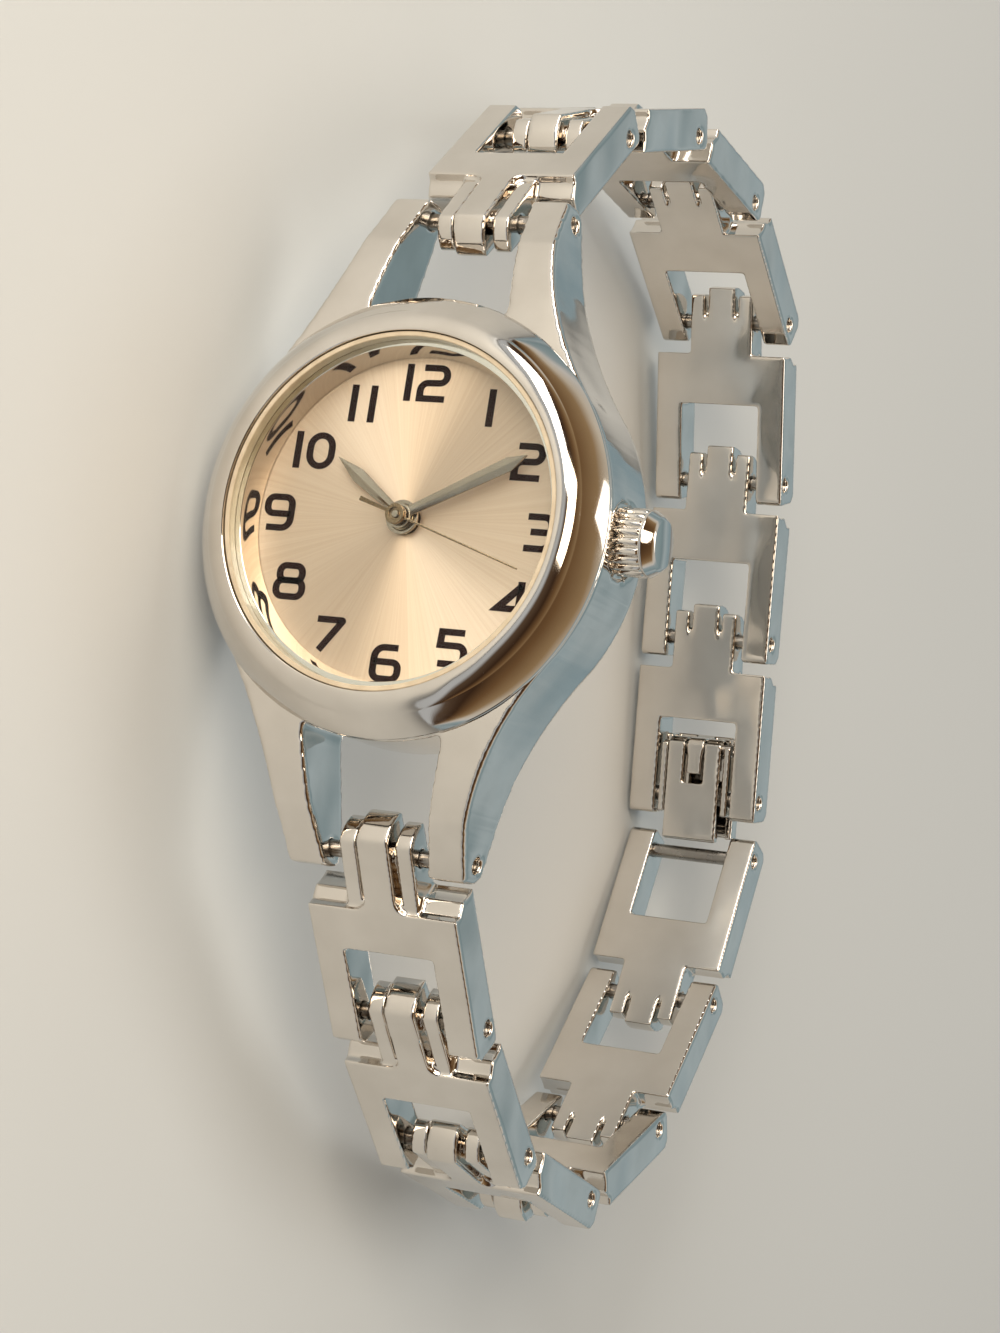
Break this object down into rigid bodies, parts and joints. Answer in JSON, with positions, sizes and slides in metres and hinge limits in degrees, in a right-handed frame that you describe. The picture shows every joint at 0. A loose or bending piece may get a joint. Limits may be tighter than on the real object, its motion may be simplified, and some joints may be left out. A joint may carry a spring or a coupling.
{
  "type": "bracelet watch",
  "caption": "Ladies' quartz wristwatch: round polished case with a domed bezel, flared open lugs, and a bracelet of pinned open links with ribbed tongues and a folding clasp.",
  "frame": {"origin": "centre of the outer face of the case back", "axes": "+Y out of the case back toward the wrist, so the dial faces -Y; +Z along the crown's axis, up as the watch lies on its nine o'clock side; -X toward twelve o'clock"},
  "size_m": [0.0725, 0.0573, 0.0281],
  "materials": {
    "polished_steel": "mirror polish",
    "plain_steel": "turned",
    "crystal_glass": "clear",
    "gasket": "matt",
    "dial_lacquer": "sunburst",
    "dark_hand": "satin",
    "gilt": "satin",
    "nickel": "nickel plated",
    "white_plastic": "moulded",
    "board": "varnished",
    "copper_wire": "enamelled wire"
  },
  "bodies": {
    "head": {"case_body": "polished_steel", "bezel": "polished_steel", "crystal": "crystal_glass", "crystal_gasket": "gasket", "rehaut_ring": "polished_steel", "dial": "dial_lacquer", "movement_ring": "white_plastic", "main_plate": "nickel", "battery": "plain_steel", "battery_clamp": "plain_steel", "coil": "copper_wire", "stator": "plain_steel", "circuit_board": "board", "train_bridge": "nickel", "bridge_screws": "plain_steel", "case_back": "polished_steel", "case_back_gasket": "gasket", "lug_pins": "plain_steel"},
    "hour": {"hour_hand": "dark_hand", "hour_wheel": "gilt"},
    "minute": {"minute_hand": "dark_hand", "cannon_pinion": "gilt"},
    "minute_gear": {"minute_wheel": "gilt"},
    "second": {"second_hand": "gilt", "second_wheel": "gilt"},
    "third": {"third_wheel": "gilt"},
    "step": {"step_wheel": "gilt"},
    "rotor_body": {"rotor": "plain_steel"},
    "setting": {"setting_lever": "plain_steel"},
    "winder": {"crown": "polished_steel", "stem": "plain_steel"},
    "upper_1": {"upper_link_1": "polished_steel", "upper_pin_1": "plain_steel"},
    "upper_2": {"upper_link_2": "polished_steel", "upper_pin_2": "plain_steel"},
    "upper_3": {"upper_link_3": "polished_steel", "upper_pin_3": "plain_steel"},
    "upper_4": {"upper_link_4": "polished_steel", "upper_pin_4": "plain_steel"},
    "upper_5": {"upper_link_5": "polished_steel", "upper_pin_5": "plain_steel"},
    "upper_6": {"upper_link_6": "polished_steel", "upper_pin_6": "plain_steel"},
    "upper_7": {"upper_link_7": "polished_steel", "upper_pin_7": "plain_steel"},
    "lower_1": {"lower_link_1": "polished_steel", "lower_pin_1": "plain_steel"},
    "lower_2": {"lower_link_2": "polished_steel", "lower_pin_2": "plain_steel"},
    "lower_3": {"lower_link_3": "polished_steel", "lower_pin_3": "plain_steel"},
    "lower_4": {"lower_link_4": "polished_steel", "lower_pin_4": "plain_steel"},
    "lower_5": {"lower_link_5": "polished_steel", "lower_pin_5": "plain_steel"},
    "lower_6": {"lower_link_6": "polished_steel", "lower_pin_6": "plain_steel"},
    "cover": {"clasp_cover": "polished_steel", "clasp_pin": "plain_steel"},
    "leaf": {"clasp_leaf": "polished_steel"}
  },
  "joints": [
    {"name": "second_turn", "type": "hinge", "parent": "head", "child": "second", "pos_m": [0, 0, 0], "axis": [0, 1, 0], "continuous": true},
    {"name": "minute_turn", "type": "hinge", "parent": "head", "child": "minute", "pos_m": [0, 0, 0], "axis": [0, 1, 0], "continuous": true},
    {"name": "hour_turn", "type": "hinge", "parent": "head", "child": "hour", "pos_m": [0, 0, 0], "axis": [0, 1, 0], "continuous": true},
    {"name": "minute_gear_turn", "type": "hinge", "parent": "head", "child": "minute_gear", "pos_m": [0.00277, 0, 0.0016], "axis": [0, 1, 0], "continuous": true},
    {"name": "third_turn", "type": "hinge", "parent": "head", "child": "third", "pos_m": [0.00093, 0, 0.00256], "axis": [0, 1, 0], "continuous": true},
    {"name": "step_turn", "type": "hinge", "parent": "head", "child": "step", "pos_m": [-0.00188, 0, 0.00188], "axis": [0, 1, 0], "continuous": true},
    {"name": "rotor_turn", "type": "hinge", "parent": "head", "child": "rotor_body", "pos_m": [-0.00284, 0, 0.00326], "axis": [0, 1, 0], "continuous": true},
    {"name": "crown_pull", "type": "slide", "parent": "head", "child": "setting", "axis": [0, 0, 1], "range_m": [0, 0.0008]},
    {"name": "crown_turn", "type": "hinge", "parent": "setting", "child": "winder", "pos_m": [0, -0.0033, 0], "axis": [0, 0, 1], "continuous": true},
    {"name": "upper_hinge_1", "type": "hinge", "parent": "head", "child": "upper_1", "pos_m": [-0.0189, -0.00112, 0], "axis": [0, 0, 1], "range_deg": [0, 51]},
    {"name": "upper_hinge_2", "type": "hinge", "parent": "upper_1", "child": "upper_2", "pos_m": [-0.02695, 0.00695, 0], "axis": [0, 0, 1], "range_deg": [0, 31]},
    {"name": "upper_hinge_3", "type": "hinge", "parent": "upper_2", "child": "upper_3", "pos_m": [-0.03084, 0.01767, 0], "axis": [0, 0, 1], "range_deg": [0, 30]},
    {"name": "upper_hinge_4", "type": "hinge", "parent": "upper_3", "child": "upper_4", "pos_m": [-0.03006, 0.02904, 0], "axis": [0, 0, 1], "range_deg": [0, 33]},
    {"name": "upper_hinge_5", "type": "hinge", "parent": "upper_4", "child": "upper_5", "pos_m": [-0.02426, 0.03886, 0], "axis": [0, 0, 1], "range_deg": [0, 46]},
    {"name": "upper_hinge_6", "type": "hinge", "parent": "upper_5", "child": "upper_6", "pos_m": [-0.0135, 0.0426, 0], "axis": [0, 0, 1], "range_deg": [0, 16]},
    {"name": "upper_hinge_7", "type": "hinge", "parent": "upper_6", "child": "upper_7", "pos_m": [-0.00225, 0.04446, 0], "axis": [0, 0, 1], "range_deg": [0, 5]},
    {"name": "lower_hinge_1", "type": "hinge", "parent": "head", "child": "lower_1", "pos_m": [0.0189, -0.00112, 0], "axis": [0, 0, -1], "range_deg": [0, 44]},
    {"name": "lower_hinge_2", "type": "hinge", "parent": "lower_1", "child": "lower_2", "pos_m": [0.02786, 0.00592, 0], "axis": [0, 0, -1], "range_deg": [0, 18]},
    {"name": "lower_hinge_3", "type": "hinge", "parent": "lower_2", "child": "lower_3", "pos_m": [0.03513, 0.01471, 0], "axis": [0, 0, -1], "range_deg": [0, 33]},
    {"name": "lower_hinge_4", "type": "hinge", "parent": "lower_3", "child": "lower_4", "pos_m": [0.03754, 0.02585, 0], "axis": [0, 0, -1], "range_deg": [0, 43]},
    {"name": "lower_hinge_5", "type": "hinge", "parent": "lower_4", "child": "lower_5", "pos_m": [0.03271, 0.03617, 0], "axis": [0, 0, -1], "range_deg": [0, 33]},
    {"name": "lower_hinge_6", "type": "hinge", "parent": "lower_5", "child": "lower_6", "pos_m": [0.02372, 0.04319, 0], "axis": [0, 0, -1], "range_deg": [0, 23]},
    {"name": "clasp_cover_turn", "type": "hinge", "parent": "upper_7", "child": "cover", "pos_m": [0.00896, 0.04654, 0], "axis": [0, 0, 1], "range_deg": [0, 110]},
    {"name": "clasp_leaf_turn", "type": "hinge", "parent": "cover", "child": "leaf", "pos_m": [0.00547, 0.04559, 0], "axis": [0, 0, -1], "range_deg": [0, 115]}
  ],
  "couplings": [
    {"joint": "step_turn", "follows": "second_turn", "ratio": -6},
    {"joint": "rotor_turn", "follows": "second_turn", "ratio": 30},
    {"joint": "third_turn", "follows": "second_turn", "ratio": -0.13333},
    {"joint": "minute_gear_turn", "follows": "minute_turn", "ratio": -0.33333},
    {"joint": "hour_turn", "follows": "minute_turn", "ratio": 0.083333}
  ]
}
